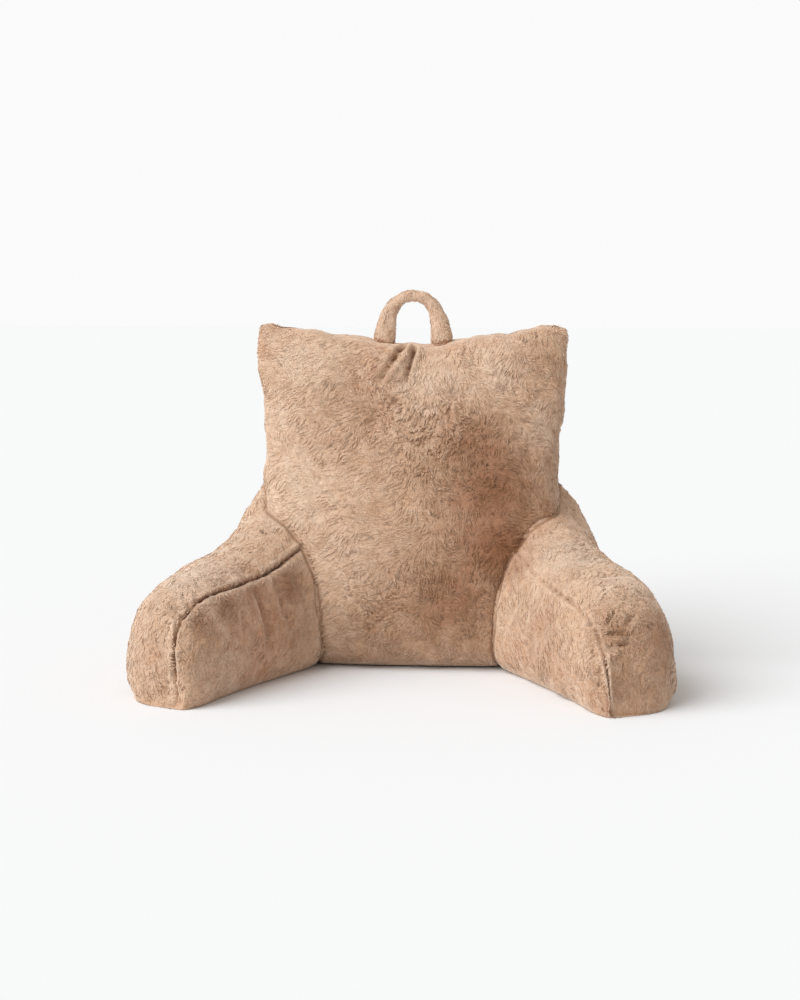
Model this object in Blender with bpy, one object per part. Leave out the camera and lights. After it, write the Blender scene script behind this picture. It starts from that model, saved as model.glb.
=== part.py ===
# Reading pillow with arms: a filled back cushion, two filled arms that splay
# forward from its sides, and a soft carry handle sewn into its top ridge.
# Metres, +Z up. The front faces -Y and the origin is under the middle of the box.

import bpy
import bmesh
import numpy as np
from math import cos, pi, radians, sin

CLEARANCE = 0.0003       # gap that touching pieces keep

# Back cushion: one level section a row, from the line that closes the base up
# to the sewn top ridge. Front and rear are how far back each of its faces lies.
BACK_COLUMNS = ("height", "half_width", "front", "rear")
BACK_ROWS = (
    (0.000, 0.200, 0.182, 0.182),
    (0.000, 0.262, 0.108, 0.246),
    (0.012, 0.284, 0.071, 0.268),
    (0.045, 0.298, 0.043, 0.280),
    (0.110, 0.304, 0.031, 0.287),
    (0.200, 0.303, 0.040, 0.2875),
    (0.300, 0.300, 0.062, 0.284),
    (0.400, 0.297, 0.089, 0.278),
    (0.500, 0.303, 0.118, 0.271),
    (0.575, 0.310, 0.143, 0.263),
    (0.613, 0.311, 0.163, 0.254),
    (0.634, 0.302, 0.183, 0.239),
    (0.643, 0.276, 0.212, 0.212),
)
BACK_STEPS_PER_ROW = 3
BACK_RING_POINTS = 84
BACK_SQUARENESS = 3.2    # 2 is an ellipse in plan, more is boxier
BACK_PLAN_DEPTH = 0.4    # over the width, of the outline on which points are spread

EAR_RISE = 0.045         # how far the top ridge climbs from its middle to an ear
EAR_REACH = 0.285        # where the climb is complete
EAR_SOFTNESS = 0.03      # rounds the lowest point of the ridge
EAR_START = 0.36         # height above which the sections start to climb

# Two puckers below the handle: where each starts and ends on the front, x and z
PUCKER_COLUMNS = ("top_x", "top_z", "end_x", "end_z", "depth")
PUCKER_ROWS = (
    (-0.020, 0.642, -0.054, 0.575, 0.009),
    (0.000, 0.638, -0.008, 0.572, 0.007),
)
PUCKER_WIDTH = 0.009
PUCKER_FACE = -0.3       # of the way to the front, from where the puckers show
PUCKER_LEAST_DEPTH = 0.01    # half depth of the thinnest section that they reach

# Arms: one upright section a row, from the tip of the nose back to the root
# inside the back cushion. Reach is measured along the arm from the middle of
# its rounded nose. Middle and the seams are sideways from the arm's axis,
# outwards positive. The two arms are sewn a little differently, so each has its
# own seam. Crown is the roundness of the upper part, 2 being an ellipse.
ARM_SPLAY = radians(24.4)
ARM_NOSE_X = 0.413
ARM_NOSE_Y = -0.158
ARM_COLUMNS = (
    "reach", "top", "bottom", "half_width", "middle", "crown", "left_seam", "right_seam",
)
ARM_ROWS = (
    (0.099, 0.004, 0.004, 0.000, -0.064, 2.2, -0.061, -0.074),
    (0.107, 0.080, -0.004, 0.038, -0.040, 2.2, -0.059, -0.078),
    (0.103, 0.117, -0.010, 0.056, -0.033, 2.2, -0.056, -0.082),
    (0.090, 0.149, -0.012, 0.075, -0.023, 2.2, -0.055, -0.084),
    (0.060, 0.184, -0.012, 0.096, -0.013, 2.3, -0.059, -0.086),
    (0.015, 0.212, -0.012, 0.105, -0.006, 2.35, -0.066, -0.088),
    (-0.040, 0.229, -0.012, 0.112, -0.001, 2.4, -0.076, -0.088),
    (-0.110, 0.240, -0.012, 0.120, 0.002, 2.35, -0.081, -0.089),
    (-0.180, 0.252, -0.012, 0.126, 0.001, 2.2, -0.085, -0.090),
    (-0.245, 0.275, -0.012, 0.132, -0.002, 2.05, -0.089, -0.091),
    (-0.300, 0.307, -0.012, 0.137, -0.004, 1.95, -0.096, -0.096),
    (-0.350, 0.344, -0.012, 0.128, 0.006, 1.95, -0.100, -0.100),
    (-0.400, 0.372, -0.012, 0.098, 0.025, 2.0, -0.060, -0.060),
    (-0.440, 0.320, 0.010, 0.062, 0.025, 2.0, -0.025, -0.025),
    (-0.456, 0.160, 0.160, 0.000, 0.020, 2.0, 0.020, 0.020),
)
ARM_STEPS_PER_ROW = 3
ARM_WIDEST = 0.32        # height of the widest place, as a share of the section's height
ARM_BELLY = 3.4          # roundness of the lower part
ARM_EDGE_SINE = 0.85     # where a section that clears the floor turns under
# Points of a section from its seam over the crown, under the base and back up,
# as shares of each stretch
ARM_NEAR_SEAM = (0.0, 0.022, 0.055, 0.105)
ARM_OUTER_POINTS = 12
ARM_BASE_POINTS = 6
ARM_INNER_POINTS = 9
ARM_OUTLINE_STEPS = 240
ARM_SEAM_DEPTH = 0.011
ARM_SEAM_WIDTH = 0.008   # of the groove, to either side
ARM_SEAM_LIMIT = 0.3     # of the way to the middle of a small section
ARM_SEAM_EDGE = 0.98     # of the half width, the furthest out that a seam may lie

# Handle: one section a row, from the left foot to the top of the arch
HANDLE_Y = 0.214
HANDLE_COLUMNS = ("across", "height", "half_breadth", "half_depth")
HANDLE_ROWS = (
    (-0.0590, 0.625, 0.0255, 0.0215),
    (-0.0575, 0.650, 0.0245, 0.0215),
    (-0.0530, 0.680, 0.0220, 0.0210),
    (-0.0440, 0.707, 0.0180, 0.0200),
    (-0.0255, 0.7285, 0.0152, 0.0190),
    (0.0000, 0.7355, 0.0145, 0.0185),
)
HANDLE_STEPS_PER_ROW = 3
HANDLE_RING_POINTS = 16
HANDLE_SQUARENESS = 2.3

PLUSH_COLOURS = {
    "back_cushion": (0.50, 0.31, 0.19, 1.0),
    "arm_left": (0.48, 0.29, 0.18, 1.0),
    "arm_right": (0.46, 0.28, 0.17, 1.0),
    "handle": (0.42, 0.25, 0.15, 1.0),
}
PLUSH_ROUGHNESS = 0.95

OUTLINE_STEPS = 1440     # of a ring's outline before its points are spread
WELD = 0.00001           # closest that two points of a skin may lie
LEAST = 0.001            # stands in for a size that closes to nothing


def clear_scene():
    for item in list(bpy.data.objects):
        bpy.data.objects.remove(item)


def new_collection(name):
    collection = bpy.data.collections.new(name)
    bpy.context.scene.collection.children.link(collection)
    return collection


def plush(name):
    material = bpy.data.materials.new(name + "_plush")
    material.use_nodes = True
    shader = material.node_tree.nodes["Principled BSDF"]
    shader.inputs["Base Color"].default_value = PLUSH_COLOURS[name]
    shader.inputs["Roughness"].default_value = PLUSH_ROUGHNESS
    shader.inputs["Metallic"].default_value = 0.0
    return material


def smooth_rows(columns, rows, steps):
    """Fill in a table: a cubic through each column, steps samples a row, read by column name."""
    table = np.array(rows)
    knots = np.arange(len(table), dtype=float)
    slopes = np.gradient(table, knots, axis=0)
    at = np.linspace(0.0, knots[-1], steps * (len(table) - 1) + 1)
    low = np.minimum(at.astype(int), len(table) - 2)
    part = (at - low)[:, None]
    rest = 1.0 - part
    filled = (
        (1.0 + 2.0 * part) * rest**2 * table[low]
        + part * rest**2 * slopes[low]
        + part**2 * (3.0 - 2.0 * part) * table[low + 1]
        - part**2 * rest * slopes[low + 1]
    )
    return [dict(zip(columns, row)) for row in filled]


def signed_power(values, power):
    return np.sign(values) * np.abs(values) ** power


def even_points(outline, shares):
    """Points of an outline at the given shares of its length."""
    steps = np.linalg.norm(np.diff(outline, axis=0), axis=1)
    length = np.concatenate([[0.0], np.cumsum(steps)])
    at = np.asarray(shares) * length[-1]
    points = np.column_stack([np.interp(at, length, outline[:, axis]) for axis in (0, 1)])
    return points, at, length[-1]


def loft(name, rings, collection):
    """Skin a list of closed rings and close both ends, then weld what meets."""
    shape = bmesh.new()
    loops = [[shape.verts.new(point) for point in ring] for ring in rings]
    for lower, upper in zip(loops, loops[1:]):
        for here in range(len(lower)):
            after = (here + 1) % len(lower)
            shape.faces.new((lower[here], lower[after], upper[after], upper[here]))
    bmesh.ops.remove_doubles(shape, verts=shape.verts, dist=WELD)
    bmesh.ops.dissolve_degenerate(shape, edges=shape.edges, dist=WELD)
    bmesh.ops.recalc_face_normals(shape, faces=shape.faces)
    mesh = bpy.data.meshes.new(name)
    shape.to_mesh(mesh)
    shape.free()
    mesh.shade_smooth()
    item = bpy.data.objects.new(name, mesh)
    collection.objects.link(item)
    return item


def back_ring_shape():
    """The back's section at unit size, its points evenly spread, front and rear alike."""
    angles = np.linspace(0.0, 2.0 * pi, OUTLINE_STEPS + 1)
    power = 2.0 / BACK_SQUARENESS
    outline = np.column_stack([
        signed_power(np.cos(angles), power),
        BACK_PLAN_DEPTH * signed_power(np.sin(angles), power),
    ])
    shares = np.arange(BACK_RING_POINTS) / BACK_RING_POINTS
    points, _, _ = even_points(outline, shares)
    return points / (1.0, BACK_PLAN_DEPTH)


def ear_lift(x, height):
    """How far the ridge climbs at x: none low down, the full rise at the top."""
    top = BACK_ROWS[-1][0]
    share = max(0.0, (height - EAR_START) / (top - EAR_START))
    climb = np.sqrt(x**2 + EAR_SOFTNESS**2) - EAR_SOFTNESS
    return EAR_RISE * share**2 * climb / EAR_REACH


def pucker_push(x, z):
    """Depth of the puckers at a point of the front face."""
    push = 0.0
    for row in PUCKER_ROWS:
        pucker = dict(zip(PUCKER_COLUMNS, row))
        along = (pucker["top_z"] - z) / (pucker["top_z"] - pucker["end_z"])
        line_x = pucker["top_x"] + (pucker["end_x"] - pucker["top_x"]) * along
        fade = np.clip(1.0 - along, 0.0, 1.0)
        push = push + pucker["depth"] * fade * np.exp(-((x - line_x) / PUCKER_WIDTH) ** 2)
    return push


def back_cushion(collection):
    shape_x, shape_y = back_ring_shape().T
    rings = []
    for row in smooth_rows(BACK_COLUMNS, BACK_ROWS, BACK_STEPS_PER_ROW):
        front, rear = row["front"], row["rear"]
        x = row["half_width"] * shape_x
        half_depth = max(0.0, 0.5 * (rear - front))
        y = 0.5 * (front + rear) + half_depth * shape_y
        level = max(0.0, row["height"])
        z = level + ear_lift(x, level)
        if half_depth > PUCKER_LEAST_DEPTH:
            y = y + np.where(shape_y < PUCKER_FACE, pucker_push(x, z), 0.0)
        rings.append(np.column_stack([x, y, z]))
    return loft("back_cushion", rings, collection)


def arm_outline(angles, top, bottom, widest, half_width, middle, crown):
    """A section's outline: an arch above its widest place, a flatter belly below."""
    rise = np.sin(angles)
    bend = np.where(rise > 0.0, 2.0 / crown, 2.0 / ARM_BELLY)
    reach_up = np.where(rise > 0.0, top - widest, widest - bottom)
    sideways = middle + half_width * signed_power(np.cos(angles), bend)
    z = np.maximum(widest + reach_up * signed_power(rise, bend), 0.0)
    return np.column_stack([sideways, z])


def arm_section(top, bottom, half_width, middle, crown, seam):
    """One upright section of an arm, its points counted from the seam: sideways and z."""
    floor = max(bottom, 0.0)
    widest = floor + ARM_WIDEST * (top - floor)
    offset = np.clip((seam - middle) / max(half_width, LEAST), -ARM_SEAM_EDGE, ARM_SEAM_EDGE)
    seam_angle = np.arccos(signed_power(offset, crown / 2.0))
    clear = widest / max(widest - bottom, LEAST)
    edge_angle = np.arcsin(min(clear ** (ARM_BELLY / 2.0), ARM_EDGE_SINE))

    near = np.array(ARM_NEAR_SEAM)
    outer = np.linspace(near[-1], 1.0, ARM_OUTER_POINTS, endpoint=False)[1:]
    base = np.linspace(0.0, 1.0, ARM_BASE_POINTS, endpoint=False)
    inner = np.linspace(0.0, 1.0 - near[-1], ARM_INNER_POINTS, endpoint=False)
    last = np.concatenate([inner, 1.0 - near[:0:-1]])

    def stretch(start, end, shares):
        angles = np.linspace(start, end, ARM_OUTLINE_STEPS)
        outline = arm_outline(angles, top, bottom, widest, half_width, middle, crown)
        return even_points(outline, shares)

    over, past, _ = stretch(seam_angle, -edge_angle, np.concatenate([near, outer]))
    under, _, _ = stretch(-edge_angle, edge_angle - pi, base)
    back_up, along, length = stretch(edge_angle - pi, seam_angle - 2.0 * pi, last)
    points = np.vstack([over, under, back_up])
    on_base = np.full(ARM_BASE_POINTS, 1.0)
    away = np.concatenate([past, on_base, length - along])

    inward = np.array((middle, widest)) - points
    distance = np.maximum(np.linalg.norm(inward, axis=1), LEAST)
    depth = ARM_SEAM_DEPTH * np.exp(-(away / ARM_SEAM_WIDTH) ** 2)
    depth = np.minimum(depth, ARM_SEAM_LIMIT * distance)
    return points + inward * (depth / distance)[:, None]


def arm(name, side, collection):
    """A filled arm. Side is -1 on the left and 1 on the right, as the front is seen."""
    along = np.array((side * sin(ARM_SPLAY), -cos(ARM_SPLAY), 0.0))
    outward = np.array((side * cos(ARM_SPLAY), sin(ARM_SPLAY), 0.0))
    nose = np.array((side * ARM_NOSE_X, ARM_NOSE_Y, 0.0))
    up = np.array((0.0, 0.0, 1.0))
    seam = "left_seam" if side < 0 else "right_seam"
    rings = []
    for row in smooth_rows(ARM_COLUMNS, ARM_ROWS, ARM_STEPS_PER_ROW):
        section = arm_section(
            row["top"], row["bottom"], max(row["half_width"], 0.0), row["middle"], row["crown"], row[seam]
        )
        rings.append(
            nose + row["reach"] * along
            + section[:, :1] * outward
            + section[:, 1:] * up
        )
    return loft(name, rings, collection)


def handle(collection):
    """A soft strap carried along an arch, its section square to the arch."""
    half = np.array(HANDLE_ROWS)
    other = half[-2::-1] * (-1.0, 1.0, 1.0, 1.0)
    stations = smooth_rows(HANDLE_COLUMNS, np.vstack([half, other]), HANDLE_STEPS_PER_ROW)
    path = np.array([(station["across"], station["height"]) for station in stations])
    heading = np.gradient(path, axis=0)
    heading /= np.linalg.norm(heading, axis=1)[:, None]
    angles = np.linspace(0.0, 2.0 * pi, HANDLE_RING_POINTS, endpoint=False)
    power = 2.0 / HANDLE_SQUARENESS
    breadth = signed_power(np.cos(angles), power)
    depth = signed_power(np.sin(angles), power)
    rings = []
    for station, direction in zip(stations, heading):
        sideways = station["half_breadth"] * breadth
        x = station["across"] - direction[1] * sideways
        y = HANDLE_Y + station["half_depth"] * depth
        z = station["height"] + direction[0] * sideways
        rings.append(np.column_stack([x, y, z]))
    ends = [np.tile(ring.mean(axis=0), (HANDLE_RING_POINTS, 1)) for ring in (rings[0], rings[-1])]
    return loft("handle", [ends[0], *rings, ends[1]], collection)


def clearance_copy(item, collection):
    """A copy grown by the clearance, which cuts what is sewn to the piece."""
    cutter = item.copy()
    cutter.data = item.data.copy()
    cutter.name = item.name + "_clearance"
    cutter.hide_render = True
    cutter.display_type = "WIRE"
    grow = cutter.modifiers.new("grow", "DISPLACE")
    grow.mid_level = 0.0
    grow.strength = CLEARANCE
    collection.objects.link(cutter)
    return cutter


def seat_on(item, cutter):
    cut = item.modifiers.new("seat", "BOOLEAN")
    cut.operation = "DIFFERENCE"
    cut.solver = "EXACT"
    cut.object = cutter


def main():
    clear_scene()
    pieces = new_collection("reading_pillow_with_arms")
    cutters = new_collection("cutters")
    back = back_cushion(pieces)
    back_space = clearance_copy(back, cutters)
    sewn_on = (
        arm("arm_left", -1, pieces),
        arm("arm_right", 1, pieces),
        handle(pieces),
    )
    for piece in sewn_on:
        seat_on(piece, back_space)
    for piece in (back, *sewn_on):
        piece.data.materials.append(plush(piece.name))


main()
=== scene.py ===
import bmesh
import bpy
import numpy as np
from math import cos, pi, radians, sin
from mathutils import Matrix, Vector, kdtree


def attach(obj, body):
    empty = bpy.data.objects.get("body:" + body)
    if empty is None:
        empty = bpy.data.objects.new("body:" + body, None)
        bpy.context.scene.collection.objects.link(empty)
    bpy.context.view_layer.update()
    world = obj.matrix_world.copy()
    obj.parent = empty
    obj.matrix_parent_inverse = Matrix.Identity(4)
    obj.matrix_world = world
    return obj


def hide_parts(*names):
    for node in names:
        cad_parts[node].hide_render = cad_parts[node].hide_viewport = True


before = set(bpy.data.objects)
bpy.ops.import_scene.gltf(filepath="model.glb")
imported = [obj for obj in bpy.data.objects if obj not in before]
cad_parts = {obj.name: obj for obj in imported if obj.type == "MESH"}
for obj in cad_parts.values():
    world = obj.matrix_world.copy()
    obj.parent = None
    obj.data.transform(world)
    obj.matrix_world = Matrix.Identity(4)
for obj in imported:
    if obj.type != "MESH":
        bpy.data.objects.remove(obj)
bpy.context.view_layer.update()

# Reading pillow with arms, dressed in short rabbit-style plush.
# Every cushion is a filled skin a little inside its shape, with tufts of pile that stand on it and end at
# about its surface. The shapes are those of the solids, but the back is up to 9 mm wider at its ears.
# Front faces -Y, metres, +Z up.

rootBody = "root"

photoView = {
    "distance": 3.6,          # from the middle of the pillow
    "azimuth": radians(4.197),
    "pitch": radians(8.075),  # looking down
    "height": 0.8556,
    "right": -0.0139,        # sideways step, so that the pillow sits as in the photo
    "back": 0.037,
    "lens": 67.19,
}


def placed(name, data):    # an object of this data, in the scene
    item = bpy.data.objects.new(name, data)
    bpy.context.collection.objects.link(item)
    return item


def makeCamera(view):
    turn, tilt, away = view["azimuth"], view["pitch"], view["distance"]
    data = bpy.data.cameras.new("camera")
    data.lens = view["lens"]
    data.clip_end = 60.0
    item = placed("camera", data)
    item.location = (
        view["right"] * cos(turn) + away * sin(turn),
        view["right"] * sin(turn) - away * cos(turn) + view["back"],
        view["height"],
    )
    heading = Vector((-sin(turn) * cos(tilt), cos(turn) * cos(tilt), -sin(tilt)))
    item.rotation_euler = heading.to_track_quat("-Z", "Y").to_euler()
    bpy.context.scene.camera = item


makeCamera(photoView)


def unit(vectors):    # each vector over its own length
    return vectors / np.maximum(np.linalg.norm(vectors, axis=-1, keepdims=True), 1e-9)


def dots(a, b):
    return (a * b).sum(axis=-1, keepdims=True)


def signedPower(values, power):
    return np.sign(values) * np.abs(values) ** power


def smoothStep(values, low, high):    # 0 below low, 1 above high, an S between
    part = np.clip((values - low) / (high - low), 0.0, 1.0)
    return part * part * (3.0 - 2.0 * part)


def bump(distance, width):    # a bell: 1 on the line, falling off within width
    return np.exp(-(distance / width) ** 2)


def ripple(points, size, seed, waves=9):
    # smooth unevenness: a sum of sine waves of about this size in random directions
    draw = np.random.default_rng(seed)
    ways = unit(draw.normal(size=(waves, 3)))
    ways *= 2.0 * pi / (size * draw.uniform(0.6, 1.5, waves))[:, None]
    return np.sin(points @ ways.T + draw.uniform(0.0, 2.0 * pi, waves)).sum(-1) * (2.0 / waves) ** 0.5


def throughRows(rows, at):
    # a cubic through each column of a table, read at fractional rows
    table = np.array(rows)
    slopes = np.gradient(table, axis=0)
    low = np.minimum(at.astype(int), len(table) - 2)
    part = (at - low)[:, None]
    rest = 1.0 - part
    return (
        (1.0 + 2.0 * part) * rest**2 * table[low] + part * rest**2 * slopes[low]
        + part**2 * (3.0 - 2.0 * part) * table[low + 1] - part**2 * rest * slopes[low + 1]
    )


def evenRows(rows, columns, spacing):
    # fractional rows that lie evenly along the path traced by these columns
    dense = np.linspace(0.0, len(rows) - 1.0, 60 * len(rows))
    path = throughRows(rows, dense)[:, columns]
    length = np.concatenate([[0.0], np.cumsum(np.linalg.norm(np.diff(path, axis=0), axis=1))])
    return np.interp(np.linspace(0.0, length[-1], int(length[-1] / spacing) + 1), length, dense)


def alongOutline(outline, shares):    # points at these shares of an outline's length
    length = np.concatenate([[0.0], np.cumsum(np.linalg.norm(np.diff(outline, axis=0), axis=1))])
    at = shares * length[-1]
    return np.column_stack([np.interp(at, length, outline[:, k]) for k in (0, 1)]), at, length[-1]


def aroundGrid(points):    # direction along each closed ring of a grid
    return unit(np.roll(points, -1, axis=1) - np.roll(points, 1, axis=1))


def drawnOut(points, way, stretch):
    # shrinks space along a direction, so that unevenness worked out there is drawn out along it
    way = unit(np.array(way))
    return points - (1.0 - 1.0 / stretch) * dots(points, way) * way


def wandering(points, size, reach, seed):    # pushed about smoothly, so that straight patterns wind
    return points + reach * np.stack([ripple(points, size, seed + k) for k in range(3)], axis=-1)


def napCreases(points, layers):
    # how deep the nap is creased, in metres, and how much shade is painted in it: winding lines where a
    # drawn-out unevenness crosses zero
    depth, dark = np.zeros(points.shape[:-1]), np.zeros(points.shape[:-1])
    for seed, layer in enumerate(layers):
        winding = wandering(points, 0.06, layer["wander"], 200 + 20 * seed)
        height = ripple(drawnOut(winding, layer["way"], layer["stretch"]), layer["size"], 210 + 20 * seed, 14)
        share = layer["where"](points) * bump(height, layer["sharp"])
        depth = np.maximum(depth, layer["depth"] * share)
        dark = np.maximum(dark, layer["dark"] * share)
    return np.stack([depth, dark])


def patchy(points, patches):    # 0 to 1 round the given places: centre, reach, strength
    amount = np.zeros(points.shape[:-1])
    for centre, reach, strength in patches:
        away = np.linalg.norm(points - np.array(centre), axis=-1)
        amount = np.maximum(amount, strength * bump(away, reach))
    return amount


def gridNormals(points):
    # around the ring crossed with across the rings, turned outwards; a pole takes its neighbour's mean
    across = np.gradient(points, axis=0)
    normals = unit(np.cross(aroundGrid(points), across))
    outward = points - points.mean(axis=(0, 1))
    normals *= np.sign((normals * outward).sum())
    for pole, inside in ((0, 1), (-1, -2)):
        normals[pole] = unit(normals[inside].mean(axis=0))
    return normals


def fromLine(points, line):    # offset of points from a fold's straight line, and how far along it they are
    start, end = np.array(line["start"]), np.array(line["end"])
    share = ((points - start) @ (end - start)) / ((end - start) @ (end - start))
    share = np.clip(share, 0.0, 1.0)
    return points - (start + share[..., None] * (end - start)), share


def folds(rows):    # rows of start, end, width, depth and, where the pile parts along it, how wide
    return tuple(dict(zip(("start", "end", "width", "depth", "part"), row)) for row in rows)


def creased(points, normals, lines):
    # folds: each line pushes the skin in along itself and lifts a soft roll beside it, more on one side.
    # A pucker is deepest near its start, any other fold in its middle
    moved, depths = np.zeros(points.shape[:-1]), np.zeros(points.shape[:-1])
    for line in lines:
        offset, share = fromLine(points, line)
        distance = np.linalg.norm(offset, axis=-1)
        share = np.sqrt(share) if line.get("pucker") else share
        fade = (4.0 * share * (1.0 - share)) ** 0.4
        width, depth = line["width"], line["depth"] * fade
        lean = 1.0 + line.get("lean", 0.0) * np.tanh(offset[..., 0] / width)
        inward = depth * bump(distance, width)
        moved += line.get("roll", 0.3) * depth * lean * bump(distance - 2.0 * width, width) - inward
        depths = np.maximum(depths, inward)
    return points + moved[..., None] * normals, depths


backShape = {
    # level sections: height, half width, front, rear
    "rows": (
        (0.0, 0.2, 0.182, 0.182), (0.0, 0.262, 0.108, 0.246), (0.012, 0.284, 0.071, 0.268),
        (0.045, 0.298, 0.043, 0.28), (0.11, 0.304, 0.031, 0.287), (0.2, 0.303, 0.04, 0.2875),
        (0.3, 0.3, 0.062, 0.284), (0.4, 0.297, 0.089, 0.278), (0.5, 0.304, 0.118, 0.271),
        (0.575, 0.313, 0.143, 0.263), (0.613, 0.316, 0.163, 0.254), (0.634, 0.308, 0.183, 0.239),
        (0.643, 0.285, 0.212, 0.212),
    ),
    "spacing": 0.0036, "ringPoints": 400, "frontShare": 0.62, "squareness": 3.2, "planDepth": 0.4,
    "earRise": 0.045, "earReach": 0.285, "earSoftness": 0.03, "earStart": 0.36,
    "earRound": 0.03,
    "lumps": 0.0022, "lumpSize": 0.11, "dimples": 0.0008, "dimpleSize": 0.035,
}
backCreases = (
    {"start": (-0.014, 0.191, 0.644), "end": (-0.062, 0.14, 0.57), "width": 0.0072, "depth": 0.014,
     "part": 0.014, "roll": 0.35, "lean": 0.8, "pucker": True},
    {"start": (0.007, 0.186, 0.64), "end": (-0.011, 0.14, 0.568), "width": 0.0052, "depth": 0.011,
     "part": 0.012, "roll": 0.35, "lean": 0.6, "pucker": True},
) + folds((
    ((-0.115, 0.05, 0.238), (-0.045, 0.047, 0.23), 0.006, 0.003, 0.006),
    # the ridge's seam, where it shows between the feet of the handle
    ((-0.056, 0.203, 0.643), (0.004, 0.203, 0.638), 0.0035, 0.006),
))
# short rubbed creases on the front of the back: from and to, with their width and depth
rubSize = (0.0034, 0.0055)
backRubs = (
    ((-0.089, 0.126, 0.533), (-0.07, 0.126, 0.531)), ((0.005, 0.085, 0.384), (0.034, 0.087, 0.39)),
    ((0.063, 0.105, 0.456), (0.076, 0.101, 0.442)), ((0.03, 0.115, 0.495), (0.049, 0.117, 0.498)),
    ((0.199, 0.112, 0.481), (0.195, 0.105, 0.456)), ((-0.125, 0.105, 0.456), (-0.112, 0.108, 0.469)),
    ((0.044, 0.067, 0.319), (0.057, 0.063, 0.306)), ((0.166, 0.069, 0.326), (0.179, 0.066, 0.316)),
    ((0.112, 0.1, 0.44), (0.12, 0.096, 0.424)), ((0.085, 0.092, 0.41), (0.104, 0.091, 0.404)),
    ((0.132, 0.11, 0.474), (0.146, 0.107, 0.464)), ((-0.02, 0.122, 0.52), (-0.004, 0.12, 0.512)),
)
backCreases += folds(rub + rubSize for rub in backRubs)


def earLift(shape, x, height):    # climbs from the middle of the ridge to both ears, more the higher up
    share = np.maximum(0.0, (height - shape["earStart"]) / (shape["rows"][-1][0] - shape["earStart"]))
    climb = np.sqrt(x**2 + shape["earSoftness"] ** 2) - shape["earSoftness"]
    climb = climb * (1.0 - shape["earRound"] * smoothStep(np.abs(x), 0.235, 0.315))
    return shape["earRise"] * share**2 * climb / shape["earReach"]


def backSurface(shape):    # superellipse rings stacked from the closed base up to the closed ridge
    angles = np.linspace(0.0, 2.0 * pi, 2881)
    power = 2.0 / shape["squareness"]
    outline = np.column_stack([
        signedPower(np.cos(angles), power), shape["planDepth"] * signedPower(np.sin(angles), power)
    ])
    frontPoints = int(shape["frontShare"] * shape["ringPoints"])    # closer together where a sitter sees them
    rear = np.linspace(0.0, 0.5, shape["ringPoints"] - frontPoints, endpoint=False)
    shares = np.concatenate([rear, np.linspace(0.5, 1.0, frontPoints, endpoint=False)])
    ring, _, _ = alongOutline(outline, shares)
    ringX, ringY = ring[:, 0], ring[:, 1] / shape["planDepth"]
    at = evenRows(shape["rows"], (0, 1, 2), shape["spacing"])
    height, halfWidth, front, rear = (column[:, None] for column in throughRows(shape["rows"], at).T)
    x = halfWidth * ringX
    y = 0.5 * (front + rear) + np.maximum(0.0, 0.5 * (rear - front)) * ringY
    level = np.maximum(height, 0.0)
    return np.stack([x, y, level + earLift(shape, x, level)], axis=-1)


armShape = {
    # upright sections from the nose to the root:
    # reach, top, bottom, half width, middle, crown, left seam, right seam
    "rows": (
        (0.099, 0.004, 0.004, 0.0, -0.064, 2.2, -0.061, -0.074),
        (0.107, 0.08, -0.004, 0.038, -0.04, 2.2, -0.059, -0.078),
        (0.103, 0.117, -0.01, 0.056, -0.033, 2.2, -0.056, -0.082),
        (0.09, 0.149, -0.012, 0.075, -0.023, 2.2, -0.055, -0.084),
        (0.06, 0.184, -0.012, 0.096, -0.013, 2.3, -0.059, -0.086),
        (0.015, 0.212, -0.012, 0.105, -0.006, 2.35, -0.066, -0.088),
        (-0.04, 0.229, -0.012, 0.112, -0.001, 2.4, -0.076, -0.088),
        (-0.11, 0.24, -0.012, 0.12, 0.002, 2.35, -0.081, -0.089),
        (-0.18, 0.252, -0.012, 0.126, 0.001, 2.2, -0.085, -0.09),
        (-0.245, 0.275, -0.012, 0.132, -0.002, 2.05, -0.089, -0.091),
        (-0.3, 0.307, -0.012, 0.137, -0.004, 1.95, -0.096, -0.096),
        (-0.35, 0.344, -0.012, 0.128, 0.006, 1.95, -0.1, -0.1),
        (-0.4, 0.372, -0.012, 0.098, 0.025, 2.0, -0.06, -0.06),
        (-0.44, 0.32, 0.01, 0.062, 0.025, 2.0, -0.025, -0.025),
        (-0.456, 0.16, 0.16, 0.0, 0.02, 2.0, 0.02, 0.02),
    ),
    "splay": radians(24.4), "noseX": 0.413, "noseY": -0.158,
    "spacing": 0.0036, "ringPoints": 200, "widest": 0.32, "belly": 3.4,
    "nearSeam": (0.0, 0.0011, 0.0022, 0.0034, 0.0048, 0.0065, 0.0085, 0.011),
    "seamDepth": 0.009, "seamWidth": 0.004, "seamRoll": 0.0028, "seamPart": 0.005,
    # the seam's depth winds, and so do the soft rolls beside it; no creases beside it, and a painted
    # highlight on the rolls
    "notches": 0.28, "notchSize": 0.016, "rollAt": 0.01, "rollWidth": 0.006, "rolls": 0.45, "rollSize": 0.024,
    "seamCalm": 0.008, "rollHighlight": 110.0, "noseShort": 0.8, "noseReach": 0.022,
    # how strongly the seam shows, by reach along the arm from root to nose
    "seamShow": {"left": ((-0.3, 0.8), (-0.2, 1.0), (0.04, 1.0), (0.1, 0.75)),
                 "right": ((-0.3, 0.15), (-0.16, 0.25), (-0.12, 0.45), (-0.05, 0.45), (0.0, 0.3),
                           (0.085, 0.35), (0.1, 0.95))},
    "lumps": 0.0014, "lumpSize": 0.1, "dimples": 0.0005, "dimpleSize": 0.035,
}
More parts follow.
